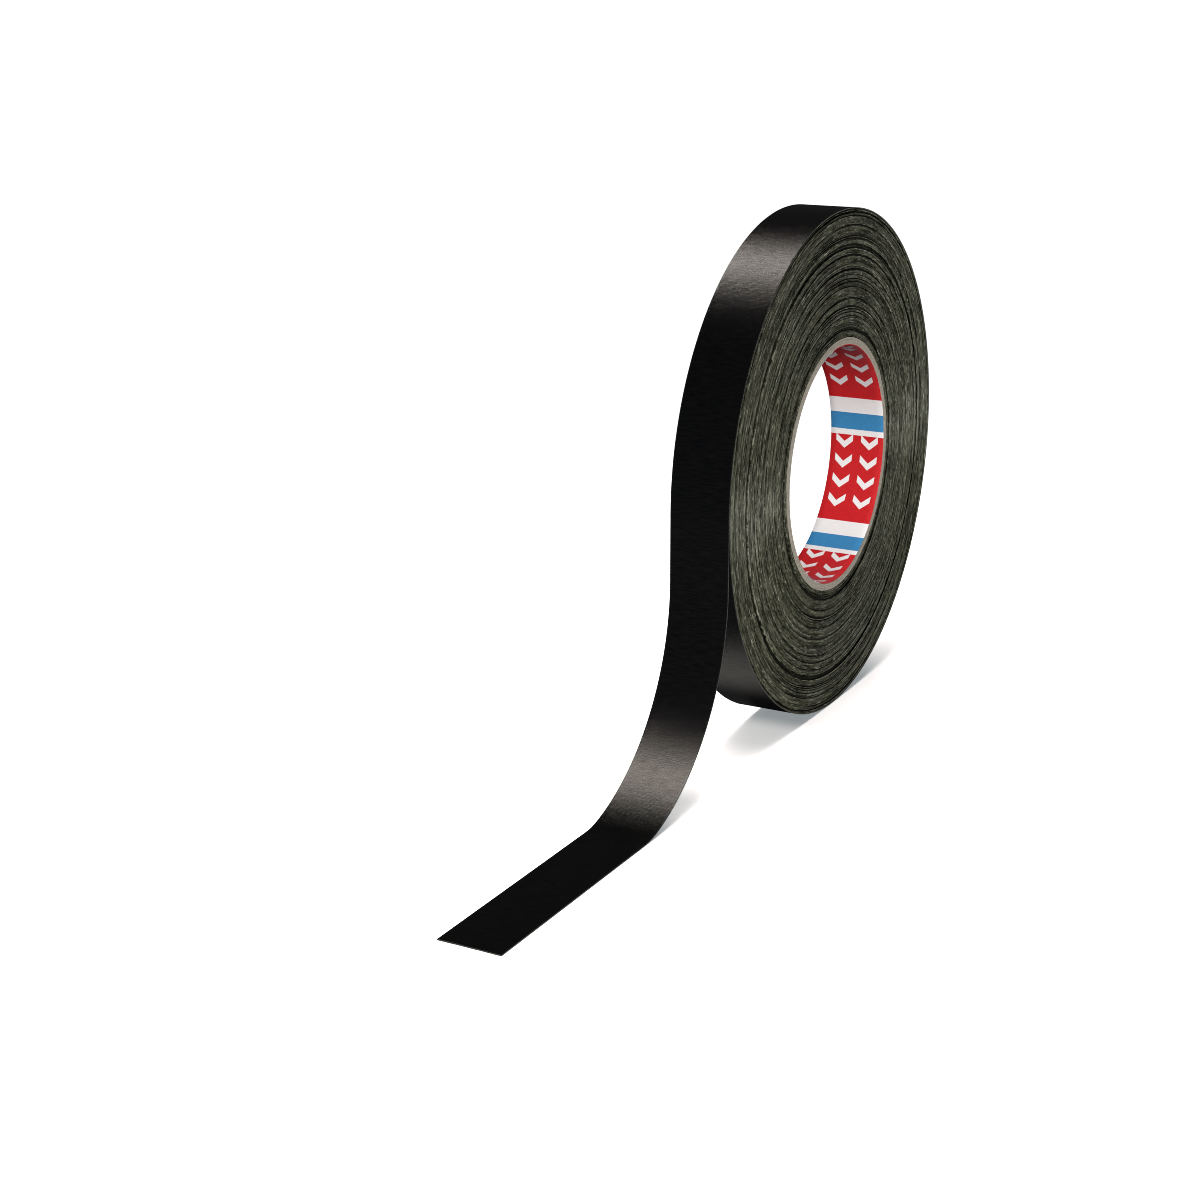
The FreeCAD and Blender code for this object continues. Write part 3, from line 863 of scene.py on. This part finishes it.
# ----------------------------------------------------------------- the stage
def floor_material():
    """White paper that melts into the backdrop and throws little light back at the roll.

    Places here are in metres.
    """
    tree = new_material("white_sweep")
    camera_ray = tree.make("LightPath", output="Is Camera Ray")
    x, y, _ = tree.xyz(tree.make("TexCoord", output="Object"))
    away = tree.ramp(tree.length(x, y), (0.22, 0.42), smooth=True)

    def patch(fade, strength, rise):
        """A strip of painted light across X: it rises over one range and fades over the other."""
        fading = tree.ramp(x, fade, (strength, 0.0), smooth=True)
        return fading * tree.ramp(x, rise, smooth=True)

    lit = tree.make("BsdfDiffuse", Color=(1.08, 1.0, 0.97))
    base = tree.make("Emission", Color=(0.87, 0.97, 1.0), Strength=0.27)
    # painted light: between roll and tail the paper glows, lightening the shadow there as if lit from
    # the sides
    painted_light_by_tail = patch(fade=(-0.033, -0.020), strength=0.28, rise=(-0.128, -0.104))
    painted_light_in_gap = patch(fade=(-0.070, -0.043), strength=0.55, rise=(-0.100, -0.080))
    # painted light: glow added to the paper between roll and tail
    side = tree.make("Emission", Color=(1.0, 0.925, 0.89), Strength=painted_light_by_tail + painted_light_in_gap)
    paper = tree.make("AddShader", lit, tree.make("AddShader", base, side))
    glow = tree.make("Emission", Color=(1.0, 1.0, 1.0), Strength=1.1)
    seen = tree.make("MixShader", away, paper, glow)
    # other rays meet dark paper, but for a warm glowing oval by the roll: painted light that the
    # tread shows as a reflection
    dim = tree.make("BsdfDiffuse", Color=(0.02, 0.02, 0.021))
    oval = tree.length(x + 0.0605, (y - 0.0135) * 0.5)
    painted_glow = tree.make("Emission", Color=(1.0, 0.95, 0.88), Strength=0.60)
    near = tree.ramp(oval, (0.005, 0.024), (1.0, 0.0), smooth=True)
    glow_seen_in_reflections = tree.make("MixShader", near, dim, painted_glow)
    return tree.finish(tree.make("MixShader", camera_ray, glow_seen_in_reflections, seen))


def white_world():
    """A backdrop that the camera sees white, and that hardly lights the pieces."""
    tree = Tree(bpy.data.worlds.new("white_backdrop"))
    camera_ray = tree.make("LightPath", output="Is Camera Ray")
    white = tree.make("Background", Color=(1.0, 1.0, 1.0), Strength=1.1)
    dim = tree.make("Background", Color=(0.96, 0.98, 1.0), Strength=0.022)
    return tree.finish(tree.make("MixShader", camera_ray, dim, white), "OutputWorld")


bpy.ops.mesh.primitive_plane_add(size=12.0, location=(0, 0, FLOOR * MM - 0.0001))
floor = bpy.context.object
floor.name = "floor"
floor.data.materials.append(floor_material())
floor.visible_shadow = False
bpy.context.scene.world = white_world()


def soft_box(name, target, direction, distance, size, power, colour, only):
    """An area light that faces the target from the given direction and lights only some pieces."""
    data = bpy.data.lights.new(name, "AREA")
    data.shape = "RECTANGLE"
    data.size, data.size_y = size
    data.energy = power
    data.color = colour
    data.spread = math.pi
    light = bpy.data.objects.new(name, data)
    bpy.context.scene.collection.objects.link(light)
    z = np.array(direction, float)
    z /= np.linalg.norm(z)
    # the light's own y lies along the world's Y as far as it can
    y = np.array([0.0, 1.0, 0.0])
    y = y - z * (y @ z)
    y /= np.linalg.norm(y)
    pose = np.eye(4)
    pose[:3, 0], pose[:3, 1], pose[:3, 2] = np.cross(y, z), y, z
    pose[:3, 3] = np.array(target, float) * MM + z * distance
    light.matrix_world = Matrix(pose.tolist())
    light.visible_camera = False
    receivers = bpy.data.collections.new(name + "_on")
    for piece in only:
        receivers.objects.link(piece)
    light.light_linking.receiver_collection = receivers


WHITE, IVORY, WARM = (1, 1, 1), (1, 1, 0.98), (1.0, 0.94, 0.88)
AXIS = (0, 0, 0)
roll = [*bands, *plies]
side_on = [*roll, outer_turn, *tails]
# name, target in mm, direction, distance and size in m, power in W, colour, pieces lit
LIGHTS = [
    # the bands of light on the tread's top and on the tail's bend
    ("over_roll", (-42, 0, 69), (0.27, 0.43, 0.86), 0.60, (0.175, 0.50), 1.8, WARM, [outer_turn]),
    ("over_tail", (-105, 0, -68), (-0.06, 0.43, 0.90), 0.60, (0.25, 0.50), 2.65, WARM, tails),
    # the front face and the bore
    ("front_left", AXIS, (-0.76, -0.55, -0.30), 2.00, (0.78, 0.78), 54.0, WHITE, side_on),
    ("front_right", AXIS, (0.75, -0.65, -0.10), 0.90, (0.3, 0.4), 1.2, IVORY, side_on),
    ("front_low", (10, 0, -60), (-0.25, -0.75, -0.50), 0.45, (0.3, 0.2), 0.40, IVORY, roll),
    (
        "into_bore", (20, 0, 0), (-0.60, -0.70, 0.34), 0.90, (0.3, 0.3), 11.6,
        (1, 0.995, 0.985), [liner],
    ),
    ("front_top", AXIS, (-0.15, -0.60, 0.80), 0.90, (0.3, 0.3), 0.25, IVORY, side_on),
    # a band of light on the +X side of the tread
    (
        "far_side", AXIS, (1.0, 0.0, -0.03), 0.80, (0.16, 0.60), 1.0,
        (1.0, 0.97, 0.93), [outer_turn],
    ),
    # the back face
    ("back_left", AXIS, (-0.76, 0.55, -0.30), 2.00, (0.78, 0.78), 54.0, WHITE, roll),
    ("back_right", AXIS, (0.75, 0.65, -0.10), 0.90, (0.3, 0.4), 2.4, IVORY, roll),
    ("back_top", AXIS, (0.15, 0.60, 0.80), 0.90, (0.3, 0.3), 2.0, IVORY, roll),
    # the floor, and so its shadows
    ("strip", (-10, 0, -80), (0, 0.06, 1.0), 0.6, (1.45, 0.3), 10.1, WHITE, [floor]),
    ("sky", (-20, 0, -80), (0, 0, 1.0), 0.6, (2.4, 2.4), 2.5, WHITE, [floor]),
]
for light_row in LIGHTS:
    soft_box(*light_row)

lens = bpy.data.cameras.new("camera")
lens.sensor_width = 36.0
lens.lens = 63.06
lens.clip_start = 0.01
camera = bpy.data.objects.new("camera", lens)
bpy.context.scene.collection.objects.link(camera)
camera.matrix_world = Matrix(
    (
        (0.484157, 0.259735, -0.835542, -0.607278),
        (-0.874969, 0.138621, -0.463911, -0.259355),
        (-0.00467, 0.955679, 0.294374, 0.156216),
        (0, 0, 0, 1),
    )
)
scene = bpy.context.scene
scene.camera = camera
scene.cycles.filter_width = 0.95
scene.view_settings.view_transform = "Standard"
scene.view_settings.look = "None"
